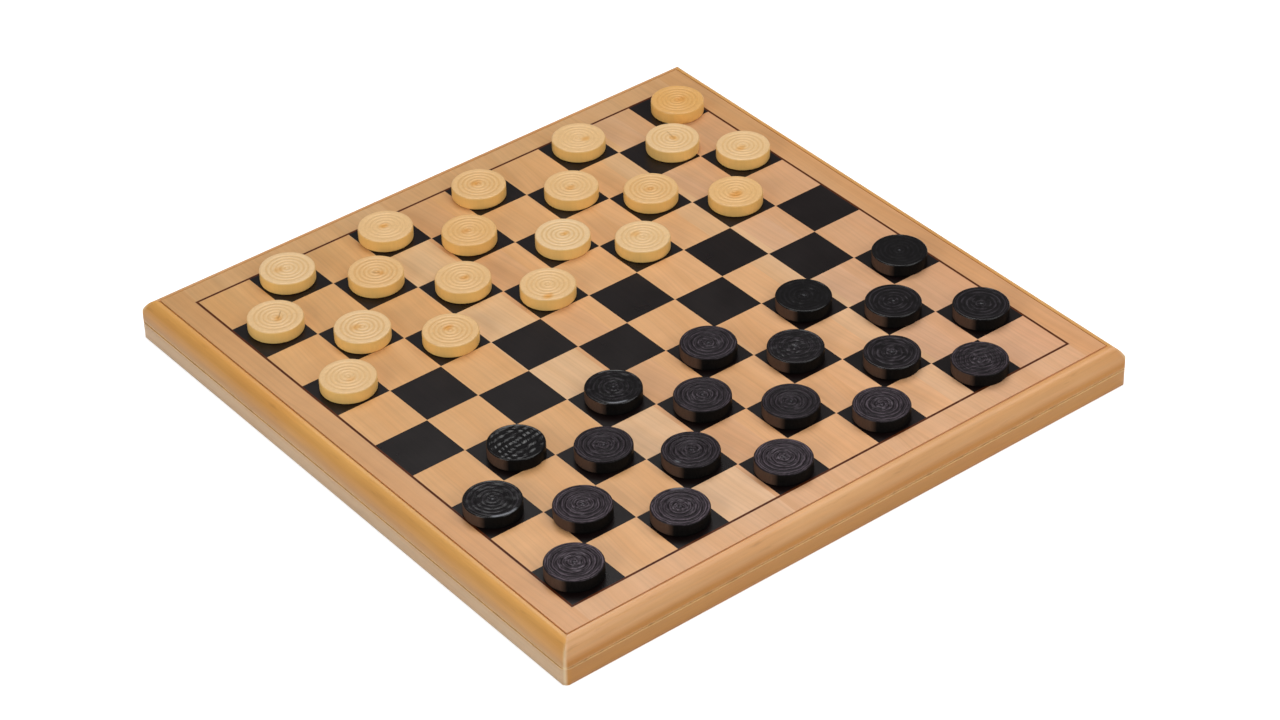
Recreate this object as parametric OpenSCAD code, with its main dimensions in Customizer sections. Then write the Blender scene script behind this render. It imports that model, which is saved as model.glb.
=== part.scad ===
// A draughts set for the ten by ten game: a flat wooden board in a moulded
// edging, and twenty light and twenty dark turned men set out for play.
// X runs along the dark side's edge, Y from the dark side to the light side,
// Z up. The origin is the middle of the board's underside.

/* [Playing field] */
// Side of one field
field = 35; // [30:0.5:42]
// Number of fields along each side of the board
fields = 10; // [8:2:10]
// Light line left between two dark fields that meet at a corner
field_gap = 0.2; // [0.1:0.1:1]
// Depth to which the dark fields and the border line are let in
inlay_t = 0.6; // [0.4:0.1:1.5]
// Width of the dark line round the playing field
line_w = 1; // [0.6:0.1:2.5]

/* [Board] */
// Flat border between the playing field and the edging
border_w = 15.5; // [8:0.5:30]
// Thickness of the board
board_h = 25.5; // [22:0.5:32]

/* [Edging] */
// Width of an edging strip
rail_w = 9.5; // [8:0.5:14]
// Width of the quirk, the small channel beside the flat board
quirk_w = 0.9; // [0.6:0.1:1.5]
// Depth of the quirk below the board's top
quirk_d = 0.9; // [0.7:0.1:1.5]
// Depth of the oval's crown below the board's top
crown_drop = 0.4; // [0.2:0.1:0.6]
// Radius of the oval next to its crown
crown_r = 5.5; // [3:0.5:6]
// Depth of the oval below its crown, down to where its side is upright
oval_h = 12; // [10:0.5:13]
// Depth of the ledge below the board's top
ledge_depth = 14.5; // [14:0.5:17]
// How far the lower band stands out past the oval
ledge_w = 0.5; // [0.3:0.1:1]
// Height of the small groove above the ledge
groove_h = 0.7; // [0.4:0.1:1]
// Depth of that groove into the oval's side
groove_d = 0.5; // [0.3:0.1:1.5]
// Rounding of the band's lower edge
foot_r = 2; // [0.5:0.5:4]
// Rounding of the board's four upright corners
corner_r = 5; // [1:0.5:8]

/* [Men] */
// Diameter of a man
man_d = 32.5; // [24:0.5:34]
// Thickness of a man
man_h = 8; // [6:0.5:12]
// Rounding of a man's rim
rim_r = 0.9; // [0.4:0.1:1.4]
// Number of rings turned into each face
rings = 5; // [2:1:5]
// Distance from one ring to the next
ring_pitch = 2.7; // [2:0.1:2.8]
// Radius of the turning tool that cuts a ring
ring_r = 1.2; // [0.8:0.1:1.6]
// Depth of a ring
ring_d = 0.4; // [0.2:0.1:0.6]

/* [Hidden] */
$fn = 96;

field_side = fields * field;
panel_w = field_side + 2 * border_w;
board_w = panel_w + 2 * rail_w;
tile = field - field_gap;

crown_z = board_h - crown_drop;
ledge_z = board_h - ledge_depth;
side_u = rail_w - ledge_w;
// The oval is two arcs that meet smoothly, level at the crown and upright at the side
oval_w = side_u - quirk_w;
side_r = (oval_w * oval_w + oval_h * oval_h - 2 * oval_h * crown_r) / (2 * (oval_w - crown_r));
crown_c = [quirk_w, crown_z - crown_r];
side_c = [side_u - side_r, crown_z - oval_h];
meet_a = atan2(crown_c[1] - side_c[1], crown_c[0] - side_c[0]);

man_rows = fields / 2 - 1;
row_men = fields / 2;
men = man_rows * row_men;

// How far each man stands off the middle of its field, [along X, along Y] in mm.
// One line for each row, from the row nearest to the dark side.
dark_off = [
    [[-1, 2], [0, 2], [-1, -1], [0, 0], [-1, -4]],
    [[-3, 2], [0, 1], [-1, -1], [1, -3], [0, -1]],
    [[-2, 1], [2, 0], [1, 0], [-1, 1], [-1, -2]],
    [[2, -3], [3, 2], [-1, 0], [-1, 0], [0, -2]]
];
light_off = [
    [[2, 0], [1, -2], [0, -2], [1, 0], [2, 1]],
    [[0, -2], [2, 0], [2, -3], [1, 1], [2, 1]],
    [[3, 3], [2, 2], [-2, 1], [2, -1], [10, 0]],
    [[0, 3], [-2, 1], [-4, 1], [2, 2], [4, -4]]
];

function two_digits(n) = n < 10 ? str("0", n) : str(n);
function man_name(kind, n) = str(kind, "_man_", two_digits(n));

// Middle of the field in column i and row j, both counted from 0
function field_middle(i, j) = [(i + 0.5) * field - field_side / 2, (j + 0.5) * field - field_side / 2];
// The dark field that man k of a row stands on: they start at column 0 in even rows, else at column 1
function dark_column(k, j) = 2 * k + j % 2;

// One square cut for each dark field, from z0 upwards
module tiles(z0, height) {
    for (j = [0:fields - 1]) {
        for (k = [0:row_men - 1]) {
            translate(concat(field_middle(dark_column(k, j), j), z0))
                translate([-tile / 2, -tile / 2, 0])
                    cube([tile, tile, height]);
        }
    }
}

// The square ring of the border line, from z0 upwards
module line_ring(z0, height) {
    outer = field_side + 2 * line_w;
    translate([0, 0, z0])
        linear_extrude(height)
            difference() {
                square(outer, center = true);
                square(field_side, center = true);
            }
}

// The flat board, with shallow beds for the dark fields and the line
module panel() {
    color("burlywood")
        difference() {
            translate([-panel_w / 2, -panel_w / 2, 0])
                cube([panel_w, panel_w, board_h]);
            tiles(board_h - inlay_t, inlay_t + 1);
            line_ring(board_h - inlay_t, inlay_t + 1);
        }
}

module dark_fields() {
    color("#201c1e")
        tiles(board_h - inlay_t, inlay_t);
}

module border_line() {
    color("#2a1c14")
        line_ring(board_h - inlay_t, inlay_t);
}

// A slice of a disc, from the level up to angle a
module sector(r, a) {
    intersection() {
        circle(r);
        polygon([[0, 0], [2 * r, 0], [2 * r, 2 * r * tan(a)]]);
    }
}

// Section of the edging, its inner face at x = 0 and its underside at y = 0
module rail_section() {
    difference() {
        union() {
            square([quirk_w, board_h - quirk_d]);
            square([side_u, crown_z - oval_h]);
            translate(crown_c)
                intersection() {
                    circle(crown_r);
                    square(crown_r);
                }
            intersection() {
                translate(side_c)
                    sector(side_r, meet_a);
                square([side_u, crown_z]);
            }
            square([rail_w - foot_r, ledge_z]);
            translate([0, foot_r])
                square([rail_w, ledge_z - foot_r]);
            translate([rail_w - foot_r, foot_r])
                circle(foot_r);
        }
        translate([side_u - groove_d, ledge_z])
            square([groove_d + ledge_w, groove_h]);
    }
}

// Plan of the whole board with its eased corners
module board_plan() {
    inner = board_w - 2 * corner_r;
    square([inner, board_w], center = true);
    square([board_w, inner], center = true);
    for (sx = [-1, 1], sy = [-1, 1]) {
        translate([sx * inner / 2, sy * inner / 2])
            circle(corner_r);
    }
}

// One edging strip along the near edge, mitred at both ends
module rail() {
    a = board_w / 2;
    b = panel_w / 2;
    color("#d29a5c")
        intersection() {
            translate([-a, -b, 0])
                rotate([90, 0, 90])
                    mirror([1, 0, 0])
                        linear_extrude(board_w)
                            rail_section();
            linear_extrude(board_h)
                intersection() {
                    board_plan();
                    polygon([[-a, -a], [a, -a], [b, -b], [-b, -b]]);
                }
        }
}

module front_rail() {
    rail();
}

module right_rail() {
    rotate(90)
        rail();
}

module back_rail() {
    rotate(180)
        rail();
}

module left_rail() {
    rotate(270)
        rail();
}

// A turned man, with the same rings in both faces
module man() {
    man_r = man_d / 2;
    rotate_extrude()
        difference() {
            union() {
                square([man_r - rim_r, man_h]);
                translate([0, rim_r])
                    square([man_r, man_h - 2 * rim_r]);
                for (y = [rim_r, man_h - rim_r]) {
                    translate([man_r - rim_r, y])
                        circle(rim_r);
                }
            }
            for (k = [1:rings]) {
                for (y = [ring_d - ring_r, man_h - ring_d + ring_r]) {
                    translate([(k - 0.5) * ring_pitch, y])
                        circle(ring_r);
                }
            }
        }
}

// Puts a man on its field, with its own small step aside
module set_man(i, j, off) {
    translate(concat(field_middle(i, j) + off, board_h))
        man();
}

// Light men are counted along the rows from the one nearest to the middle
module light_man(n) {
    row = floor((n - 1) / row_men);
    k = (n - 1) % row_men;
    j = fields - man_rows + row;
    color("#e3c492")
        set_man(dark_column(k, j), j, light_off[row][k]);
}

// Dark men are counted along the rows from the dark side's own edge
module dark_man(n) {
    row = floor((n - 1) / row_men);
    k = (n - 1) % row_men;
    color("#2b262a")
        set_man(dark_column(k, row), row, dark_off[row][k]);
}

panel();
dark_fields();
border_line();
front_rail();
back_rail();
left_rail();
right_rail();
for (n = [1:men]) light_man(n);
for (n = [1:men]) dark_man(n);
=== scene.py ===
import math

import bmesh
import bpy
from mathutils import Matrix, Vector, noise


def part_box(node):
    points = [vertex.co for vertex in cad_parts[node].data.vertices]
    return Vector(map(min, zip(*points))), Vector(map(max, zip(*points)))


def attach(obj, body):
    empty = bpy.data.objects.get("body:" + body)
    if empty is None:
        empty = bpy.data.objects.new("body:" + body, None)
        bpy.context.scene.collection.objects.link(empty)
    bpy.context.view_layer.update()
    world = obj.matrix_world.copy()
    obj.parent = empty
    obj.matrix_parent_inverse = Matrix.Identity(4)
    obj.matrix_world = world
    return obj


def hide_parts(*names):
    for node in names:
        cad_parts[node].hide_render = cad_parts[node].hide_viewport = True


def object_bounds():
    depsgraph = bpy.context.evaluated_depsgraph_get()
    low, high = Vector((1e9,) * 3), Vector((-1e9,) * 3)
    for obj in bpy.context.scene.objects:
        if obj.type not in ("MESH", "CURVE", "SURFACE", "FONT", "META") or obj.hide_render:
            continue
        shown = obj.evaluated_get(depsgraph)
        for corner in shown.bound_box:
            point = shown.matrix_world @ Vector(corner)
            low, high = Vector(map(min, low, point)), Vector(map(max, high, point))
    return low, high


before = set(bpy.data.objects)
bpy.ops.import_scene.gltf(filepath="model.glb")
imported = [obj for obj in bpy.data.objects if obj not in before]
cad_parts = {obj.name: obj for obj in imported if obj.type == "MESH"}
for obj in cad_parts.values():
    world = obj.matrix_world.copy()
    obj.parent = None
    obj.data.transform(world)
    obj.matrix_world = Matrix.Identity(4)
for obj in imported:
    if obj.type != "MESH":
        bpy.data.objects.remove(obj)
cad_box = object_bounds()

# The camera stands in front of the board's near corner and looks down along its diagonal,
# with a long lens and a slight turn about its own axis, as the photograph was taken.
camera_place = (-1.0435, -1.3618, 1.2714)
camera_tilt = 53.427
camera_roll = 1.272
camera_heading = -38.630
camera_lens = 105.3
camera_sensor = 36
camera = bpy.data.objects.new("camera", bpy.data.cameras.new("camera"))
camera.data.sensor_width = camera_sensor
camera.data.lens = camera_lens
camera.location = camera_place
camera.rotation_euler = [math.radians(a) for a in (camera_tilt, camera_roll, camera_heading)]
bpy.context.scene.collection.objects.link(camera)
bpy.context.scene.camera = camera
bpy.context.scene.view_settings.view_transform = "Standard"

# The studio: a wide pale floor that reads as white and keeps a faint shadow of the board,
# white surroundings that only show in gloss, and soft lamps on all sides, those on the right
# and behind higher up than those on the left and in front.
floor_size = 30.0
floor_drop = 0.0005
floor_white = (0.82, 0.82, 0.82, 1)
floor_lift = 0.72
floor_shine = 0.25
world_white = (1, 1, 1, 1)
world_level = 0.02
world_gloss = 0.18
lamps = {
    # name: (place, width, height, watts)
    "lamp_over": ((0.0, 0.0, 2.4), 1.8, 1.8, 5.2),
    "lamp_behind": ((0.3, 1.1, 2.2), 1.4, 1.4, 15.5),
    "lamp_left": ((-2.4, -0.4, 1.1), 1.4, 1.0, 27),
    "lamp_near": ((0.4, -2.4, 1.5), 1.6, 1.0, 16.5),
    "lamp_right_near": ((0.9, -0.6, 1.5), 1.0, 1.0, 9.3),
    "lamp_right_far": ((0.66, 0.54, 1.85), 0.8, 0.8, 7.6),
}
for name, (place, width, height, watts) in lamps.items():
    lamp = bpy.data.objects.new(name, bpy.data.lights.new(name, "AREA"))
    lamp.data.shape = "RECTANGLE"
    lamp.data.size = width
    lamp.data.size_y = height
    lamp.data.energy = watts
    lamp.location = place
    lamp.rotation_euler = (-Vector(place)).to_track_quat("-Z", "Y").to_euler()
    bpy.context.scene.collection.objects.link(lamp)

# The world is white to the camera, faint in gloss and fainter still as a light
world = bpy.data.worlds.new("studio")
bpy.context.scene.world = world
world.use_nodes = True
world_nodes = world.node_tree.nodes
world_links = world.node_tree.links
world_rays = world_nodes.new("ShaderNodeLightPath")
world_shine = world_nodes.new("ShaderNodeMapRange")
world_shine.inputs["To Min"].default_value = world_level
world_shine.inputs["To Max"].default_value = world_gloss
world_strength = world_nodes.new("ShaderNodeMapRange")
world_strength.inputs["To Max"].default_value = 1.0
world_links.new(world_rays.outputs["Is Glossy Ray"], world_shine.inputs["Value"])
world_links.new(world_shine.outputs["Result"], world_strength.inputs["To Min"])
world_links.new(world_rays.outputs["Is Camera Ray"], world_strength.inputs["Value"])
world_links.new(world_strength.outputs["Result"], world_nodes["Background"].inputs["Strength"])
world_nodes["Background"].inputs["Color"].default_value = world_white

# The floor takes shadow as matt paint does, and its glow lifts it to white for the camera
floor_mesh = bmesh.new()
bmesh.ops.create_grid(floor_mesh, x_segments=1, y_segments=1, size=floor_size / 2)
floor = bpy.data.objects.new("floor", bpy.data.meshes.new("floor"))
floor_mesh.to_mesh(floor.data)
floor_mesh.free()
floor.location.z = -floor_drop
bpy.context.scene.collection.objects.link(floor)
floor_paint = bpy.data.materials.new("white_floor")
floor_paint.use_nodes = True
floor_nodes = floor_paint.node_tree.nodes
floor_links = floor_paint.node_tree.links
floor_nodes.remove(floor_nodes["Principled BSDF"])
floor_matt = floor_nodes.new("ShaderNodeBsdfDiffuse")
floor_matt.inputs["Color"].default_value = floor_white
floor_glow = floor_nodes.new("ShaderNodeEmission")
floor_rays = floor_nodes.new("ShaderNodeLightPath")
floor_mirrored = floor_nodes.new("ShaderNodeMath")
floor_mirrored.operation = "MULTIPLY"
floor_mirrored.inputs[1].default_value = floor_shine
floor_amount = floor_nodes.new("ShaderNodeMapRange")
floor_amount.inputs["To Max"].default_value = floor_lift
floor_sum = floor_nodes.new("ShaderNodeAddShader")
floor_links.new(floor_rays.outputs["Is Glossy Ray"], floor_mirrored.inputs[0])
floor_links.new(floor_mirrored.outputs[0], floor_amount.inputs["To Min"])
floor_links.new(floor_rays.outputs["Is Camera Ray"], floor_amount.inputs["Value"])
floor_links.new(floor_amount.outputs[0], floor_glow.inputs["Strength"])
floor_links.new(floor_matt.outputs[0], floor_sum.inputs[0])
floor_links.new(floor_glow.outputs[0], floor_sum.inputs[1])
floor_links.new(floor_sum.outputs[0], floor_nodes["Material Output"].inputs["Surface"])
floor.data.materials.append(floor_paint)

# The flat board is faced with pale veneer, laid as leaves side by side with the grain running
# from the dark side to the light side. The leaves differ in tone and in the lean of their
# grain, and their joints don't follow the fields. A satin lacquer covers it.
veneer_base = (0.750, 0.413, 0.188)
veneer_pore = (0.42, 0.19, 0.07)
veneer_glue = (0.090, 0.019, 0.003)
year_line_pitch = 0.0034
half_line = 0.0005
half_board = round(cad_box[1].x, 6)
# The tone of the fields gives way to that of the border between these distances from the middle
field_end = 0.1752
border_start = 0.1756
# A colour ramp holds values from 0 to 1, so it keeps a share of each tone and leans about a middle
ramp_share = 0.7
ramp_middle = 0.5
veneer_leaves = (
    # the leaf's left edge along X in metres, its tone on red, green and blue, its grain's lean
    (-0.2, (0.94, 0.99, 1.09), 0.02),
    (-0.175, (0.985, 0.975, 0.885), -0.05),
    (-0.071, (1.03, 1.175, 1.37), 0.04),
    (-0.038, (0.96, 0.94, 0.96), 0.1),
    (-0.012, (1.01, 1.0, 0.97), -0.02),
    (0.036, (1.02, 1.0, 0.97), -0.12),
    (0.056, (1.035, 1.04, 1.06), 0.06),
    (0.0895, (1.0, 1.10, 1.26), 0.01),
    (0.108, (0.96, 1.01, 1.24), 0.12),
    (0.128, (0.94, 0.945, 1.07), -0.03),
    (0.16, (0.935, 0.915, 1.02), 0.03),
)


class Finish:
    """The node tree of one finish, with short calls for the nodes that wood and lacquer need."""

    def __init__(self, name):
        self.material = bpy.data.materials.new(name)
        self.material.use_nodes = True
        self.tree = self.material.node_tree
        self.shader = self.tree.nodes["Principled BSDF"]

    def put(self, socket, value):
        if isinstance(value, bpy.types.NodeSocket):
            self.tree.links.new(value, socket)
        elif isinstance(value, (tuple, list)) and len(value) == 3 and len(socket.default_value) == 4:
            socket.default_value = (*value, 1)
        else:
            socket.default_value = value

    def node(self, kind, values=(), **settings):
        made = self.tree.nodes.new("ShaderNode" + kind)
        for setting, value in settings.items():
            setattr(made, setting, value)
        for key, value in dict(values).items():
            self.put(made.inputs[key], value)
        return made

    def place(self, scale=(1, 1, 1), turn=0.0, source=None):
        """The piece's own place, turned about Z and then stretched."""
        where = source or self.node("TexCoord").outputs["Object"]
        turned = self.node("VectorRotate", {"Vector": where, "Angle": turn}, rotation_type="Z_AXIS")
        stretched = self.node("VectorMath", {0: turned.outputs[0], 1: scale}, operation="MULTIPLY")
        return stretched.outputs[0]

    def part(self, vector, axis):
        return self.node("SeparateXYZ", {0: vector}).outputs[axis]

    def on_plan(self, vector, scale=(1, 1, 0)):
        """The place seen from above, so without its height."""
        return self.node("VectorMath", {0: vector, 1: scale}, operation="MULTIPLY").outputs[0]

    def length(self, vector):
        return self.node("VectorMath", {0: vector}, operation="LENGTH").outputs["Value"]

    def add(self, a, b):
        """Two places added to each other."""
        return self.node("VectorMath", {0: a, 1: b}, operation="ADD").outputs[0]

    def mark(self, name):
        """What the mesh keeps under this name."""
        return self.node("Attribute", attribute_name=name).outputs["Vector"]

    def facing(self, low, high):
        """From 0 on an upright surface to 1 on one that faces up."""
        return self.fit(self.part(self.node("NewGeometry").outputs["Normal"], 2), low, high)

    def noise(self, where, scale, detail=3.0, rough=0.5, swirl=0.0):
        made = self.node(
            "TexNoise",
            {"Vector": where, "Scale": scale, "Detail": detail, "Roughness": rough, "Distortion": swirl},
        )
        return made.outputs["Fac"]

    def calc(self, operation, a, b=0.0):
        made = self.node("Math", operation=operation)
        self.put(made.inputs[0], a)
        self.put(made.inputs[1], b)
        return made.outputs[0]

    def times(self, *factors):
        """The product of all these values."""
        product = factors[0]
        for factor in factors[1:]:
            product = self.calc("MULTIPLY", product, factor)
        return product

    def fit(self, value, low, high, to_low=0.0, to_high=1.0, soft=False):
        made = self.node(
            "MapRange",
            {"Value": value, "From Min": low, "From Max": high, "To Min": to_low, "To Max": to_high},
        )
        if soft:
            made.interpolation_type = "SMOOTHSTEP"
        return made.outputs["Result"]

    def blend(self, amount, a, b, mode="MIX"):
        made = self.node("Mix", data_type="RGBA", blend_type=mode)
        self.put(made.inputs[0], amount)
        self.put(made.inputs[6], a)
        self.put(made.inputs[7], b)
        return made.outputs[2]

    def shade(self, colour, factor, amount=1.0):
        """A colour times a factor on red, green and blue, as far as the amount says."""
        return self.blend(amount, colour, factor, "MULTIPLY")

    def tint(self, colour, factor):
        """A colour times a grey factor."""
        grey = self.node("CombineColor", {0: factor, 1: factor, 2: factor})
        return self.shade(colour, grey.outputs[0])

    def bump(self, height, depth, under=None):
        made = self.node("Bump", {"Height": height, "Distance": depth, "Strength": 1.0})
        if under:
            self.put(made.inputs["Normal"], under)
        return made.outputs[0]

    def steps(self, value, stops, low, high):
        """Colours that change in steps as value runs from low to high."""
        ramp = self.node("ValToRGB", {0: self.fit(value, low, high)})
        ramp.color_ramp.interpolation = "CONSTANT"
        cells = ramp.color_ramp.elements
        for count, (edge, colour) in enumerate(stops):
            position = (edge - low) / (high - low)
            cell = cells[count] if count < 2 else cells.new(position)
            cell.position = position
            cell.color = (*colour, 1)
        return ramp.outputs[0]


veneer = Finish("veneer_lacquered")
board_place = veneer.node("TexCoord").outputs["Object"]
board_x = veneer.part(board_place, 0)
board_y = veneer.part(board_place, 1)
leaf_tone = veneer.steps(
    board_x,
    [(edge, [ramp_share * c for c in tone]) for edge, tone, lean in veneer_leaves],
    -half_board,
    half_board,
)
leaf_lean = veneer.steps(
    board_x,
    [(edge, [ramp_middle + lean] * 3) for edge, tone, lean in veneer_leaves],
    -half_board,
    half_board,
)
lean_now = veneer.calc("SUBTRACT", veneer.node("SeparateColor", {0: leaf_lean}).outputs[0], ramp_middle)
# Grain coordinates: fine across the board, long from side to side, leaning and bending a little
grain_bend = veneer.noise(board_place, 9.0, 2.0)
grain_slip = veneer.calc("ADD", veneer.fit(grain_bend, 0, 1, -0.006, 0.006), veneer.times(lean_now, board_y))
bent_place = veneer.add(board_place, veneer.node("CombineXYZ", {"X": grain_slip}).outputs[0])
wide_figure = veneer.noise(veneer.place((60, 5, 1), source=bent_place), 1.0, 3.0)
middle_grain = veneer.noise(veneer.place((210, 7, 1), source=bent_place), 1.0, 3.0, 0.55)
fine_grain = veneer.noise(veneer.place((700, 18, 1), source=bent_place), 1.0, 4.0, 0.6)
pores = veneer.noise(veneer.place((1500, 110, 1), source=bent_place), 1.0, 2.0, 0.5)
curl = veneer.noise(veneer.place((30, 90, 1), source=bent_place), 1.0, 2.0, 0.5)
year_phase = veneer.times(veneer.part(bent_place, 0), 2 * math.pi / year_line_pitch)
year_lines = veneer.calc("SINE", veneer.calc("ADD", year_phase, veneer.fit(wide_figure, 0, 1, -14, 14)))
board_flat = veneer.node("VectorMath", {0: board_place}, operation="ABSOLUTE").outputs[0]
board_reach = veneer.calc("MAXIMUM", veneer.part(board_flat, 0), veneer.part(board_flat, 1))
# In the border the leaves differ less than in the fields
in_border = veneer.fit(board_reach, field_end, border_start)
leaf_tone = veneer.blend(veneer.times(in_border, 0.7), leaf_tone, (0.690, 0.700, 0.714))
wood = veneer.shade(tuple(c / ramp_share for c in veneer_base), leaf_tone)
# The leaves deepen in tone towards the light side. Towards the dark side the board is paler and
# bluer, partly the leaves' own tone and partly painted sheen of the lacquer
along_leaf = veneer.fit(board_y, -half_board, half_board)
wood = veneer.shade(wood, veneer.blend(along_leaf, (1.055, 1.035, 1.130), (0.945, 0.960, 0.870)))
along_board = veneer.fit(board_y, -0.19, 0.19)
drift = veneer.blend(along_board, (0.958, 0.972, 1.000), (0.903, 0.898, 0.903))
wood = veneer.shade(veneer.tint(wood, 1.08), drift)
# The border is a shade deeper than the fields, and warmer on the left and on the right
in_side_border = veneer.fit(veneer.part(board_flat, 0), field_end, border_start)
wood = veneer.shade(wood, (0.960, 0.978, 1.018), in_border)
wood = veneer.shade(wood, (0.970, 0.906, 0.798), in_side_border)
# The figure of the wood, from its widest bands to its pores
wood = veneer.shade(wood, (0.97, 0.92, 0.84), veneer.fit(wide_figure, 0.38, 0.66))
wood = veneer.tint(wood, veneer.fit(middle_grain, 0.3, 0.7, 0.950, 1.045))
wood = veneer.tint(wood, veneer.fit(year_lines, 0.0, 1.0, 1.010, 0.968))
wood = veneer.tint(wood, veneer.fit(fine_grain, 0.3, 0.72, 0.960, 1.035))
wood = veneer.tint(wood, veneer.fit(curl, 0.3, 0.7, 0.975, 1.025))
wood = veneer.blend(veneer.fit(pores, 0.68, 0.82, 0.0, 0.22), wood, veneer_pore)
# The dark glue line on both sides of the border line
line_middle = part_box("border_line")[1].x - half_line
beside_line = veneer.calc("ABSOLUTE", veneer.calc("SUBTRACT", board_reach, line_middle))
wood = veneer.blend(veneer.fit(beside_line, 0.00084, 0.00070), wood, veneer_glue)
veneer.put(veneer.shader.inputs["Base Color"], wood)
veneer.put(veneer.shader.inputs["Roughness"], veneer.fit(middle_grain, 0.3, 0.7, 0.32, 0.40))
veneer.put(veneer.shader.inputs["Normal"], veneer.bump(fine_grain, 0.00002))
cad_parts["panel"].material_slots[0].material = veneer.material

# The dark fields are stained black and let in flush with the veneer. Only a trace of the
# grain is left in them, and all that is grey about them is the sheen of their lacquer.
field_black = (0.0050, 0.0024, 0.0023)
field_brown = (0.0085, 0.0044, 0.0042)
stained = Finish("field_stained")
stained_grain = stained.noise(stained.place((520, 14, 1)), 1.0, 4.0, 0.6)
stained_cloud = stained.noise(stained.place((30, 30, 1)), 1.0, 3.0)
stain = stained.blend(stained.fit(stained_grain, 0.3, 0.7), field_black, field_brown)
stain = stained.tint(stain, stained.fit(stained_cloud, 0.3, 0.7, 0.85, 1.15))
stained.put(stained.shader.inputs["Base Color"], stain)
stained.put(stained.shader.inputs["Roughness"], stained.fit(stained_cloud, 0.3, 0.7, 0.26, 0.33))
stained.put(stained.shader.inputs["Normal"], stained.bump(stained_grain, 0.00001))
stained.put(stained.shader.inputs["Specular IOR Level"], 0.24)
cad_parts["dark_fields"].material_slots[0].material = stained.material

# The border line is a thin strip of dark brown veneer let in round the playing field.
# Its grain is short, and it takes little lacquer.
line_brown = (0.060, 0.013, 0.003)
line_tan = (0.120, 0.028, 0.005)
line = Finish("line_brown")
line_grain = line.noise(line.place((260, 260, 1)), 1.0, 3.0)
line.put(line.shader.inputs["Base Color"], line.blend(line.fit(line_grain, 0.3, 0.7), line_brown, line_tan))
line.put(line.shader.inputs["Roughness"], line.fit(line_grain, 0.3, 0.7, 0.40, 0.55))
line.put(line.shader.inputs["Normal"], line.bump(line_grain, 0.00001))
line.put(line.shader.inputs["Specular IOR Level"], 0.1)
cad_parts["border_line"].material_slots[0].material = line.material

# The edging strips are solid wood, moulded with an oval above a small ledge, mitred at the
# corners and lacquered to a deeper gold than the flat board. Painted shade lies in the quirk and,
# in short dashes, under the oval, and painted highlights run along the ledge and down the mitres.
edging_base = (0.810, 0.410, 0.121)
edging_deep = (0.690, 0.285, 0.062)
edging_streak_and_shade = (0.380, 0.150, 0.040)
ledge_highlight = (0.945, 0.690, 0.350)
mitre_highlight = (0.960, 0.760, 0.480)
quirk_depth = 0.0009
ledge_depth = 0.0145
# Heights above the ledge between which the side turns into the oval, and the oval into the crown
oval_turn = (0.0035, 0.0075)
crown_turn = (0.0105, 0.0135)
half_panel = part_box("panel")[1].x
board_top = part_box("panel")[1].z
ledge_height = board_top - ledge_depth
quirk_floor = board_top - quirk_depth


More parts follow.
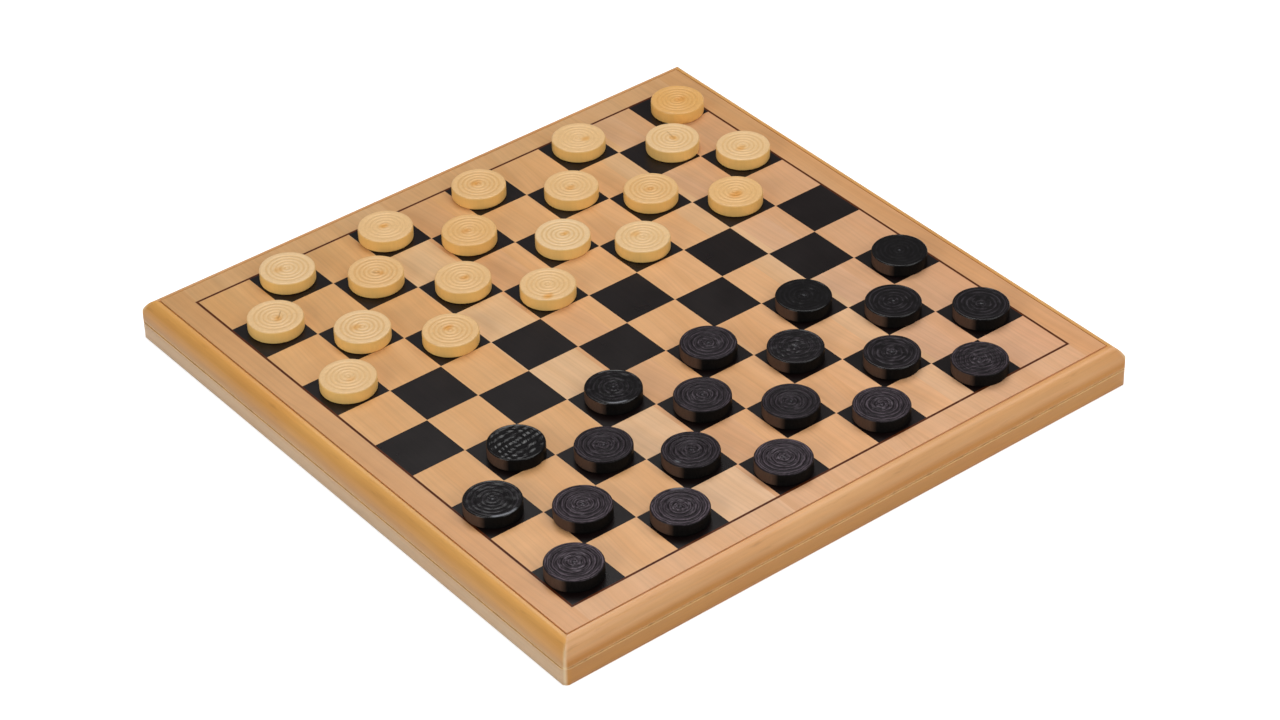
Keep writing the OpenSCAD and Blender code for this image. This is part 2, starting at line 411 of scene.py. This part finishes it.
def edging_finish(name, turn, crown_painted_light, oval_painted_light, side_painted_light, band_painted_light, shade_dash_show, change, drift):
    """The finish of two facing strips. Crown, oval, upright side and band each carry painted light
    of their own, as factors on the gold: painted sheen, shade and reflection as each strip needs.
    The band's gives way to the side's within the change, up and down from the ledge."""
    edge = Finish(name)
    where = edge.node("TexCoord").outputs["Object"]
    height = edge.part(where, 2)
    # Long stretches run along the strip, which lies along X once it is turned
    bands = edge.noise(edge.place((7, 160, 110), turn, source=where), 1.0, 3.0, 0.55, 0.3)
    fibre = edge.noise(edge.place((26, 900, 700), turn, source=where), 1.0, 3.0, 0.6)
    cloud = edge.noise(edge.place((16, 45, 45), turn, source=where), 1.0, 2.0)
    streaks = edge.noise(edge.place((55, 420, 420), turn, source=where), 1.0, 2.0, 0.5)
    gold = edge.blend(edge.fit(bands, 0.32, 0.70), edging_base, tuple(0.88 * c for c in edging_base))
    gold = edge.blend(edge.fit(cloud, 0.35, 0.72, 0.0, 0.40), gold, edging_deep)
    along = edge.fit(edge.part(edge.place((1, 1, 1), turn, source=where), 0), -half_board, half_board)

    def drifting(tone):
        """A tone that drifts from one end of the strip to the other."""
        at_one_end = tuple(c * d for c, d in zip(tone, drift))
        at_the_other = tuple(c / d for c, d in zip(tone, drift))
        return edge.blend(along, at_one_end, at_the_other)

    on_oval = edge.fit(height, ledge_height + oval_turn[0], ledge_height + oval_turn[1])
    on_crown = edge.fit(height, ledge_height + crown_turn[0], ledge_height + crown_turn[1])
    above_ledge = edge.fit(height, ledge_height - change, ledge_height + change, soft=True)
    # The painted light of band, side, oval and crown, each over its own height
    tone = edge.blend(on_oval, side_painted_light, drifting(oval_painted_light))
    tone = edge.blend(on_crown, tone, drifting(crown_painted_light))
    tone = edge.blend(above_ledge, band_painted_light, tone)
    gold = edge.shade(gold, tone)
    gold = edge.tint(gold, edge.fit(fibre, 0.3, 0.7, 0.955, 1.04))
    gold = edge.blend(edge.fit(streaks, 0.64, 0.78, 0.0, 0.30), gold, edging_streak_and_shade)
    # A painted highlight runs along the ledge, and painted shade lies on it in dashes
    off_ledge = edge.calc("ABSOLUTE", edge.calc("SUBTRACT", height, ledge_height + 0.00035))
    near_ledge = edge.fit(off_ledge, 0.0010, 0.0003)
    dash_noise = edge.noise(edge.place((130, 90, 0), turn, source=where), 1.0, 2.0)
    shade_dashes = edge.fit(dash_noise, 0.50, 0.62, 0.0, shade_dash_show)
    gold = edge.blend(edge.times(near_ledge, 0.7), gold, ledge_highlight)
    gold = edge.blend(edge.times(near_ledge, shade_dashes), gold, edging_streak_and_shade)
    # Painted shade darkens the quirk beside the flat board
    quirk_shade = edge.fit(edge.calc("ABSOLUTE", edge.calc("SUBTRACT", height, quirk_floor)), 0.0006, 0.0)
    flat = edge.node("VectorMath", {0: where}, operation="ABSOLUTE").outputs[0]
    reach = edge.calc("MAXIMUM", edge.part(flat, 0), edge.part(flat, 1))
    beside_panel = edge.fit(reach, half_panel + 0.0018, half_panel + 0.0006)
    gold = edge.blend(edge.times(quirk_shade, beside_panel, 0.22), gold, edging_streak_and_shade)
    # A painted highlight runs down the mitred corner
    from_mitre = edge.calc("ABSOLUTE", edge.calc("SUBTRACT", edge.part(flat, 0), edge.part(flat, 1)))
    under_crown = edge.fit(height, quirk_floor, quirk_floor - 0.004)
    mitre_highlight_mask = edge.times(edge.fit(from_mitre, 0.0020, 0.0004), under_crown)
    gold = edge.blend(edge.times(mitre_highlight_mask, 0.55), gold, mitre_highlight)
    edge.put(edge.shader.inputs["Base Color"], gold)
    edge.put(edge.shader.inputs["Roughness"], edge.fit(bands, 0.3, 0.7, 0.27, 0.36))
    edge.put(edge.shader.inputs["Normal"], edge.bump(fibre, 0.00003))
    return edge.material


# The front and back strips: painted sheen pales and blues the crown and oval, and painted shade deepens the
# side and band
edging_along_x = edging_finish(
    "edging_lacquered_x",
    turn=0.0,
    crown_painted_light=(0.97, 0.99, 1.28),
    oval_painted_light=(1.05, 1.12, 1.64),
    side_painted_light=(0.84, 0.68, 0.31),
    band_painted_light=(0.84, 0.76, 0.56),
    shade_dash_show=0.25,
    change=0.0007,
    drift=(1.01, 1.03, 1.06),
)
# The left and right strips: painted shade deepens the oval and side, and a painted reflection of the white
# floor greys and blues the band
edging_along_y = edging_finish(
    "edging_lacquered_y",
    turn=math.pi / 2,
    crown_painted_light=(1.01, 1.03, 0.97),
    oval_painted_light=(0.93, 0.92, 0.83),
    side_painted_light=(0.79, 0.80, 0.90),
    band_painted_light=(0.90, 1.23, 2.50),
    shade_dash_show=0.12,
    change=0.0040,
    drift=(0.98, 0.97, 0.93),
)
for side in ("front_rail", "back_rail"):
    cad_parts[side].material_slots[0].material = edging_along_x
for side in ("left_rail", "right_rail"):
    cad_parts[side].material_slots[0].material = edging_along_y

# The light men are turned from peeled branches, so each face shows its pith as a small brown
# spot, off the middle, with faint growth rings round it. Five shallow rings are turned into
# each face, and the rim is rounded. A clear varnish covers them.
man_steps = 96
face_points = 40
under_points = 20
rim_points = 6
rings = 5
ring_pitch = 0.0027
ring_depth = 0.0004
light_ring_share = 0.55
rim_round = 0.0009
# A side with a finish of its own starts this far from the axis, where the surface is this steep
side_start = 0.0155
side_slope = 0.6
# Millimetres in a metre
to_mm = 1000
light_deep = (0.795, 0.430, 0.130)
light_pale = (0.858, 0.589, 0.308)
light_side_deep = (0.985, 0.590, 0.172)
light_side_pale = (0.985, 0.655, 0.220)
crack_brown = (0.40, 0.22, 0.08)


def face_depth(radius, depth):
    """How deep the turned face lies below its flat at this radius."""
    if radius > (rings + 0.05) * ring_pitch:
        return 0.0
    return depth * (0.5 - 0.5 * math.cos(2 * math.pi * radius / ring_pitch))


def man_outline(man_radius, man_height, depth):
    """Half of the man's section, from the middle of its top to the middle of its underside."""
    face_end = man_radius - rim_round
    points = []
    for count in range(face_points):
        radius = face_end * count / face_points
        points.append((radius, man_height - face_depth(radius, depth)))
    for count in range(rim_points + 1):
        turn = math.pi / 2 * count / rim_points
        rim_height = man_height - rim_round + rim_round * math.cos(turn)
        points.append((face_end + rim_round * math.sin(turn), rim_height))
    points.append((man_radius, man_height / 2))
    for count in range(rim_points + 1):
        turn = math.pi / 2 * count / rim_points
        points.append((face_end + rim_round * math.cos(turn), rim_round - rim_round * math.sin(turn)))
    for count in range(1, under_points + 1):
        radius = face_end * (1 - count / under_points)
        points.append((radius, face_depth(radius, depth)))
    return points


def turned_man(node, depth):
    """A man of its node's size, on its own axis and base, and the seat where the node has it."""
    low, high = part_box(node)
    radius = (high.x - low.x) / 2
    height = high.z - low.z
    man = bmesh.new()
    chain = [man.verts.new((r, 0, z)) for r, z in man_outline(radius, height, depth)]
    for a, b in zip(chain, chain[1:]):
        man.edges.new((a, b))
    bmesh.ops.spin(
        man,
        geom=man.verts[:] + man.edges[:],
        cent=(0, 0, 0),
        axis=(0, 0, 1),
        angle=2 * math.pi,
        steps=man_steps,
        use_merge=True,
    )
    bmesh.ops.remove_doubles(man, verts=man.verts, dist=1e-6)
    bmesh.ops.recalc_face_normals(man, faces=man.faces)
    return man, Vector(((low.x + high.x) / 2, (low.y + high.y) / 2, low.z))


def set_man(man, name, node, seat, material, marks, side_material=None):
    """Stands a man on its seat, and keeps what its finish reads in attributes."""
    mesh = bpy.data.meshes.new(name)
    man.to_mesh(mesh)
    man.free()
    local = [vertex.co.copy() for vertex in mesh.vertices]
    for mark, value_of in marks.items():
        layer = mesh.attributes.new(mark, "FLOAT_VECTOR", "POINT")
        layer.data.foreach_set("vector", [c for co in local for c in value_of(co)])
    mesh.transform(Matrix.Translation(seat))
    for polygon in mesh.polygons:
        polygon.use_smooth = True
    mesh.materials.append(material)
    if side_material:
        mesh.materials.append(side_material)
        for polygon in mesh.polygons:
            out = polygon.center - seat
            if abs(polygon.normal.z) < side_slope and math.hypot(out.x, out.y) > side_start:
                polygon.material_index = 1
    piece = bpy.data.objects.new(name, mesh)
    bpy.context.scene.collection.objects.link(piece)
    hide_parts(node)
    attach(piece, "root")
    return piece


light = Finish("light_man_varnished")
spot_at = light.mark("pith")
turned_at = light.mark("turned")
look = light.mark("look")
tone = light.part(look, 0)
ring_shade_show = light.part(look, 1)
crack_length = light.part(look, 2)
spot = light.mark("spot")
spot_reach = light.part(spot, 0)
spot_show = light.part(spot, 1)
from_axis = light.length(light.on_plan(turned_at))
wobble = light.noise(light.place((0.22, 0.22, 0.05), source=spot_at), 1.0, 2.0)
from_pith = light.length(light.on_plan(spot_at, (0.8, 1, 0)))
from_pith = light.calc("ADD", from_pith, light.fit(wobble, 0, 1, -1.2, 1.2))
# The growth rings and the mottle of the face, then painted shade in the five turned rings
mottle = light.noise(light.place((0.5, 0.5, 0.5), source=spot_at), 1.0, 4.0)
growth = light.calc("SINE", light.times(from_pith, 5.2))
top_wood = light.tint(light.blend(tone, light_deep, light_pale), light.fit(growth, -1, 1, 0.985, 1.01))
top_wood = light.tint(top_wood, light.fit(mottle, 0.3, 0.7, 0.95, 1.04))
groove = light.calc("COSINE", light.times(from_axis, 2 * math.pi / (ring_pitch * to_mm)))
groove_shade = light.times(light.fit(groove, 0.4, -0.9), light.fit(from_axis, 13.8, 13.2), ring_shade_show)
top_wood = light.shade(top_wood, (0.905, 0.835, 0.715), groove_shade)
# The pith is a soft warm spot
spot_out = light.calc("DIVIDE", from_pith, spot_reach)
in_spot = light.times(light.fit(spot_out, 1.45, 0.15, soft=True), spot_show)
top_wood = light.shade(top_wood, (0.870, 0.590, 0.130), in_spot)
# A drying crack starts at the pith of some men
crack_ahead = light.part(spot_at, 0)
beside_crack = light.fit(light.calc("ABSOLUTE", light.part(spot_at, 1)), 0.55, 0.1)
before_end = light.fit(light.calc("SUBTRACT", crack_length, crack_ahead), 0.0, 1.5)
past_start = light.fit(crack_ahead, -0.5, 0.3)
in_crack = light.times(beside_crack, before_end, past_start, light.fit(crack_length, 0.0, 1.0))
top_wood = light.blend(light.times(in_crack, 0.5), top_wood, crack_brown)
# The side is a warmer gold, with faint upright fibres
side_streak = light.noise(light.place((0.9, 0.9, 0.06), source=spot_at), 1.0, 3.0)
side_gold = light.blend(tone, light_side_deep, light_side_pale)
side_gold = light.tint(side_gold, light.fit(side_streak, 0.3, 0.7, 0.955, 1.0))
light.put(light.shader.inputs["Base Color"], light.blend(light.facing(0.15, 0.8), side_gold, top_wood))
light.put(light.shader.inputs["Roughness"], light.fit(mottle, 0.3, 0.7, 0.34, 0.44))
fine_turning = light.calc("SINE", light.times(from_axis, 14.0))
crack_bump = light.bump(light.times(in_crack, -1.0), 0.00020)
light.put(light.shader.inputs["Normal"], light.bump(fine_turning, 0.00001, crack_bump))

# Each light man: where its pith lies from the middle in millimetres along X and Y, its tone
# from golden to pale, how strongly the painted shade in its rings shows, the pith's reach in
# millimetres and how strongly it shows, its crack's length in millimetres and its heading in degrees.
light_looks = (
    ((-0.5, -3.9), 0.73, 0.45, 2.2, 0.48, 0, 0),
    ((0.5, 2.6), 0.56, 0.8, 2.5, 0.93, 0, 0),
    ((-7.0, -9.9), 0.68, 0.6, 2.6, 0.93, 0, 0),
    ((-1.5, 4.6), 0.83, 0.6, 2.7, 0.5, 0, 0),
    ((-2.0, -2.9), 0.38, 0.25, 3.7, 0.89, 0, 0),
    ((-3.0, 1.6), 0.86, 1.0, 2.8, 0.59, 0, 0),
    ((0.5, -1.4), 0.56, 0.5, 2.4, 0.76, 0, 0),
    ((1.5, -0.4), 1.00, 1.0, 2.1, 0.73, 0, 0),
    ((-1.0, -0.4), 0.47, 0.9, 2.5, 0.5, 0, 0),
    ((-3.0, -1.9), 0.81, 0.7, 2.5, 0.76, 0, 0),
    ((0.0, -2.9), 0.78, 0.7, 2.3, 0.79, 8, 45),
    ((1.0, -2.9), 0.47, 0.9, 2.4, 0.58, 6, 125),
    ((-2.0, 0.1), 0.29, 0.5, 2.6, 0.53, 0, 0),
    ((-2.0, -1.9), 0.61, 0.5, 2.5, 0.7, 0, 0),
    ((0.5, -0.4), 0.86, 0.9, 2.4, 0.72, 9, 80),
    ((-4.5, 1.6), 0.94, 0.9, 2.8, 0.47, 0, 0),
    ((-0.5, 0.6), 0.61, 0.1, 2.4, 0.79, 0, 0),
    ((-0.5, 1.6), 0.51, 0.9, 2.9, 0.75, 0, 0),
    ((2.5, -3.9), 0.65, 0.15, 2.3, 0.62, 0, 0),
    ((2.0, -0.9), 0.00, 0.5, 3.4, 0.45, 0, 0),
)


def in_mm(co, start=(0, 0, 0)):
    """This place on the man in millimetres from a starting point."""
    return tuple(to_mm * c - s for c, s in zip(co, start))


for number, (pith_at, man_tone, ring_shade_strength, reach, show, crack, heading) in enumerate(light_looks, 1):
    node = f"light_man_{number:02d}"
    man, seat = turned_man(node, ring_depth * light_ring_share)
    pith_start = (*pith_at, 0)
    back_turn = Matrix.Rotation(-math.radians(heading), 3, "Z")
    set_man(
        man,
        f"light_man_turned_{number:02d}",
        node,
        seat,
        light.material,
        {
            "turned": in_mm,
            "pith": lambda co: tuple(back_turn @ Vector(in_mm(co, pith_start))),
            "look": lambda co: (man_tone, ring_shade_strength, crack),
            "spot": lambda co: (reach, show, 0.0),
        },
    )

# The dark men are turned from the same wood and stained black. The stain has raised and torn
# their rings, each in its own way, and the varnish shines on their faces, glossy on some and
# satin on the others. The side is stained too, and hardly varnished.
wood_black = (0.0032, 0.0026, 0.0028)
wood_grey = (0.0062, 0.0052, 0.0058)
sheen_deep = (0.0180, 0.0135, 0.0165)
sheen_pale = (0.1560, 0.1180, 0.1430)
shade_black = (0.0045, 0.0036, 0.0040)
crest_highlight = (0.0620, 0.0540, 0.0640)
wisp_highlight = (0.270, 0.235, 0.265)
highlight_grey = (0.330, 0.340, 0.375)
fine_ring_pitch = 1.35


def dark_finish(name, shine, streak_step, streak_detail, streak_depth, grain_depth, ring_bump, crest_highlight_show):
    """The finish of a dark man's face. The streaks, the grain and the fine rings stand up by
    their depths in metres, and the painted highlight on the crests between the turned rings shows
    as far as the last says."""
    dark = Finish(name)
    dark_at = dark.mark("turned")
    seeded = dark.mark("seeded")
    dark_look = dark.mark("look")
    matt = dark.part(dark_look, 0)
    purple_sheen = dark.part(dark_look, 1)
    torn = dark.part(dark_look, 2)
    face_marks = dark.mark("painted_highlight")
    painted_highlight = dark.part(face_marks, 0)
    ridged = dark.part(face_marks, 1)
    furrow = dark.part(face_marks, 2)
    dark_plan = dark.on_plan(dark_at)
    dark_from_axis = dark.length(dark_plan)
    dark_round = dark.node("VectorMath", {0: dark_plan}, operation="NORMALIZE").outputs[0]
    dark_up = dark.facing(0.3, 0.8)
    # Streaks that follow the turning: fine from ring to ring, long round the axis
    seed_step = dark.node("VectorMath", {0: seeded, 1: dark_at}, operation="SUBTRACT").outputs[0]
    ring_lift = dark.node("CombineXYZ", {"Z": dark.times(dark_from_axis, streak_step)}).outputs[0]
    ring_place = dark.add(dark.add(ring_lift, dark.on_plan(dark_round, (1.5, 1.5, 0))), seed_step)
    ring_streak = dark.noise(ring_place, 1.0, streak_detail, 0.60)
    uneven = dark.noise(dark.place((0.22, 0.22, 0.22), source=seeded), 1.0, 3.0)
    # Fine rings that wander a little, so that they run into each other here and there
    ring_wander = dark.calc("ADD", dark.fit(uneven, 0, 1, -5, 5), dark.fit(ring_streak, 0, 1, -4, 4))
    ring_phase = dark.calc("ADD", dark.times(dark_from_axis, 2 * math.pi / fine_ring_pitch), ring_wander)
    fine_ring = dark.calc("SINE", ring_phase)
    rough_grain = dark.noise(dark.place((1.3, 1.3, 0.35), source=seeded), 1.0, 4.0, 0.6)
    dark_colour = dark.blend(dark.fit(rough_grain, 0.35, 0.7), wood_black, wood_grey)
    # A painted purple sheen lies on the face, paler on the fine ridges and deeper between them
    ridge_sheen = dark.times(dark.fit(fine_ring, -0.9, 0.9), dark.fit(ring_streak, 0.32, 0.62))
    painted_sheen = dark.blend(ridge_sheen, sheen_deep, sheen_pale)
    dark_colour = dark.blend(dark.times(purple_sheen, dark_up), dark_colour, painted_sheen)
    # Painted shade darkens the five turned rings and the furrows between torn ridges, and a painted
    # highlight lies on the crests between the rings. A face with torn ridges shows those, and its rings only
    # faintly.
    turned_phase = dark.times(dark_from_axis, 2 * math.pi / (ring_pitch * to_mm))
    turned_ring = dark.calc("COSINE", dark.calc("ADD", turned_phase, dark.fit(uneven, 0, 1, -1.5, 1.5)))
    on_face = dark.times(dark_up, dark.fit(dark_from_axis, 14.6, 13.8))
    ring_amount = dark.times(on_face, dark.fit(ridged, 0.0, 1.0, 1.0, 0.35))
    ring_shade = dark.times(dark.fit(turned_ring, 0.2, -0.8), ring_amount, 0.62)
    crest_highlight_share = dark.times(dark.fit(ring_streak, 0.35, 0.62), dark.fit(purple_sheen, -0.05, 0.12))
    crest_highlight_mask = dark.times(dark.fit(turned_ring, 0.1, 0.9), ring_amount, crest_highlight_show, crest_highlight_share)
    furrow_shade = dark.times(dark.fit(furrow, 0.5, 0.9, 0.0, 0.7), ridged, on_face)
    dark_colour = dark.blend(furrow_shade, dark_colour, shade_black)
    dark_colour = dark.blend(ring_shade, dark_colour, shade_black)
    dark_colour = dark.blend(crest_highlight_mask, dark_colour, crest_highlight)
    # Painted highlights: pale wisps round the middle, a spot in the middle of every man and a streak near
    # the rim on some
    near_middle = dark.fit(dark_from_axis, 12.0, 2.0, 0.0, 0.8)
    highlight_wisps = dark.times(dark.fit(ring_streak, 0.54, 0.70), near_middle, purple_sheen, dark_up)
    dark_colour = dark.blend(highlight_wisps, dark_colour, wisp_highlight)
    highlight_now = dark.times(painted_highlight, dark.fit(ring_streak, 0.35, 0.65, 0.45, 1.0))
    dark_colour = dark.blend(highlight_now, dark_colour, highlight_grey)
    dark.put(dark.shader.inputs["Base Color"], dark_colour)
    mattness_now = dark.times(matt, dark.fit(dark_up, 0, 1, 0.6, 1.0))
    roughness = dark.calc("ADD", mattness_now, dark.fit(uneven, 0.3, 0.7, -0.05, 0.06))
    dark.put(dark.shader.inputs["Roughness"], roughness)
    torn_bump = dark.bump(dark.times(ring_streak, torn, dark_up), streak_depth)
    fine_bump = dark.bump(dark.times(fine_ring, dark_up), ring_bump, torn_bump)
    dark.put(dark.shader.inputs["Normal"], dark.bump(rough_grain, grain_depth, fine_bump))
    dark.put(dark.shader.inputs["Specular IOR Level"], shine)
    return dark.material


dark_satin = dark_finish(
    "dark_man_satin",
    shine=0.10,
    streak_step=0.95,
    streak_detail=3.0,
    streak_depth=0.0009,
    grain_depth=0.00006,
    ring_bump=0.00006,
    crest_highlight_show=0.25,
)
dark_glossy = dark_finish(
    "dark_man_glossy",
    shine=0.26,
    streak_step=0.45,
    streak_detail=1.0,
    streak_depth=0.00022,
    grain_depth=0.000004,
    ring_bump=0.000006,
    crest_highlight_show=0.42,
)

# A painted reflection of the lit wood beside it shows brown on the left of each dark man's side
side_black = (0.0058, 0.0056, 0.0055)
side_grey = (0.0090, 0.0086, 0.0084)
reflection_brown = (0.080, 0.050, 0.036)
reflection_tan = (0.100, 0.062, 0.045)
side_coat = Finish("dark_man_side")
side_plan = side_coat.on_plan(side_coat.mark("turned"))
side_round = side_coat.node("VectorMath", {0: side_plan}, operation="NORMALIZE").outputs[0]
side_place = side_coat.place((1.3, 1.3, 0.35), source=side_coat.mark("seeded"))
side_grain = side_coat.noise(side_place, 1.0, 4.0, 0.6)
side_stain = side_coat.blend(side_coat.fit(side_grain, 0.35, 0.7), side_black, side_grey)
painted_reflection = side_coat.blend(side_coat.fit(side_grain, 0.3, 0.7), reflection_brown, reflection_tan)
on_left = side_coat.fit(side_coat.part(side_round, 0), -0.78, -0.90)
side_coat.put(side_coat.shader.inputs["Base Color"], side_coat.blend(on_left, side_stain, painted_reflection))
side_coat.put(side_coat.shader.inputs["Roughness"], side_coat.fit(side_grain, 0.3, 0.7, 0.34, 0.46))
side_coat.put(side_coat.shader.inputs["Normal"], side_coat.bump(side_grain, 0.00002))
side_coat.put(side_coat.shader.inputs["Specular IOR Level"], 0.02)

# Each dark man: whether its varnish is glossy, how rough that is, how strong its painted purple
# sheen is and how torn its rings are. Then the ridges that cross it: their depth and spacing in
# millimetres and their heading in degrees. Last its streak of painted highlight: the headings it
# runs from and to, its radius and half width in millimetres, and its strength.
dark_looks = (
    (False, 0.36, 0.95, 0.7, 0.00, 0, 0, (0, 0, 0, 1, 0)),
    (False, 0.34, 0.90, 0.8, 0.00, 0, 0, (40, 75, 15.0, 0.8, 0.9)),
    (False, 0.38, 0.87, 0.6, 0.00, 0, 0, (0, 0, 0, 1, 0)),
    (False, 0.36, 0.78, 0.9, 0.00, 0, 0, (0, 0, 0, 1, 0)),
    (False, 0.40, 0.50, 0.3, 0.24, 3.2, -18, (0, 0, 0, 1, 0)),
    (False, 0.42, 0.82, 0.6, 0.00, 0, 0, (0, 0, 0, 1, 0)),
    (False, 0.32, 0.47, 0.8, 0.00, 0, 0, (185, 205, 12.5, 1.2, 0.6)),
    (False, 0.36, 0.36, 0.7, 0.00, 0, 0, (0, 0, 0, 1, 0)),
    (True, 0.17, 0.22, 1.0, 0.00, 0, 0, (0, 0, 0, 1, 0)),
    (True, 0.20, 0.10, 0.8, 0.00, 0, 0, (0, 0, 0, 1, 0)),
    (True, 0.15, 0.06, 0.4, 0.00, 0, 0, (228, 292, 15.0, 0.9, 1.5)),
    (False, 0.34, 0.46, 0.7, 0.00, 0, 0, (0, 0, 0, 1, 0)),
    (False, 0.42, 0.50, 0.4, 0.00, 0, 0, (0, 0, 0, 1, 0)),
    (True, 0.20, 0.14, 0.8, 0.10, 4.0, -25, (0, 0, 0, 1, 0)),
    (True, 0.18, 0.08, 0.8, 0.00, 0, 0, (0, 0, 0, 1, 0)),
    (True, 0.13, -0.05, 0.4, 0.26, 4.2, 8, (0, 0, 0, 1, 0)),
    (True, 0.16, 0.05, 0.6, 0.00, 0, 0, (215, 265, 14.6, 0.7, 1.0)),
    (False, 0.42, 0.52, 0.4, 0.00, 0, 0, (0, 0, 0, 1, 0)),
    (True, 0.17, 0.00, 0.8, 0.00, 0, 0, (0, 0, 0, 1, 0)),
    (True, 0.18, 0.00, 0.7, 0.00, 0, 0, (0, 0, 0, 1, 0)),
)
glossy_ring_share = 0.1
satin_ring_share = 0.8
face_reach = 0.0150
face_level = 0.004
unevenness = 0.00010
unevenness_scale = 260
varnished_level = 0.006
middle_highlight_reach = 0.9
middle_highlight_show = 0.30
highlight_fade = 8
furrow_wander = 1.2
furrow_wander_scale = 120
furrow_wander_level = 0.008
seed_stride = (17.3, -9.1, 4.7)


def highlight_at(co, highlight_streak):
    """How strong the painted highlight is at this place on the man: a streak near the rim and a spot in the
    middle.
    """
    if co.z <= varnished_level:
        return 0.0
    start, end, radius, half_width, show = highlight_streak
    reach = to_mm * math.hypot(co.x, co.y)
    middle_highlight = max(0.0, 1.0 - reach / middle_highlight_reach) * middle_highlight_show
    heading = math.degrees(math.atan2(co.y, co.x)) % 360
    along = max(0.0, min(1.0, min(heading - start, end - heading) / highlight_fade))
    across = max(0.0, 1.0 - abs(reach - radius) / half_width)
    return min(1.0, middle_highlight + show * along * across)


def furrow_at(co, step, across, seed):
    """How far down in a torn furrow this place on the face lies, from 0 to 1."""
    if not step:
        return 0.0
    wave = 2 * math.pi * to_mm * co.dot(across) / step
    on_level = Vector((co.x, co.y, furrow_wander_level))
    wave += furrow_wander * noise.noise(on_level * furrow_wander_scale + seed)
    return 0.5 + 0.5 * math.cos(wave)


for number, dark_look in enumerate(dark_looks, 1):
    glossy, mattness, purple_sheen_strength, tornness, ridge_depth, ridge_step, heading, highlight_streak = dark_look
    node = f"dark_man_{number:02d}"
    man, seat = turned_man(node, ring_depth * (glossy_ring_share if glossy else satin_ring_share))
    seed = Vector([stride * number for stride in seed_stride])
    across = Vector((-math.sin(math.radians(heading)), math.cos(math.radians(heading)), 0))
    for vertex in man.verts:
        if math.hypot(vertex.co.x, vertex.co.y) < face_reach and vertex.co.z > face_level:
            vertex.co.z -= unevenness * (1.0 + noise.noise(vertex.co * unevenness_scale + seed))
            vertex.co.z -= ridge_depth / to_mm * furrow_at(vertex.co, ridge_step, across, seed)
    bmesh.ops.recalc_face_normals(man, faces=man.faces)
    set_man(
        man,
        f"dark_man_turned_{number:02d}",
        node,
        seat,
        dark_glossy if glossy else dark_satin,
        {
            "turned": in_mm,
            "seeded": lambda co: in_mm(co, -seed),
            "look": lambda co: (mattness, purple_sheen_strength, tornness),
            "painted_highlight": lambda co: (
                highlight_at(co, highlight_streak),
                1.0 if ridge_step else 0.0,
                furrow_at(co, ridge_step, across, seed),
            ),
        },
        side_coat.material,
    )
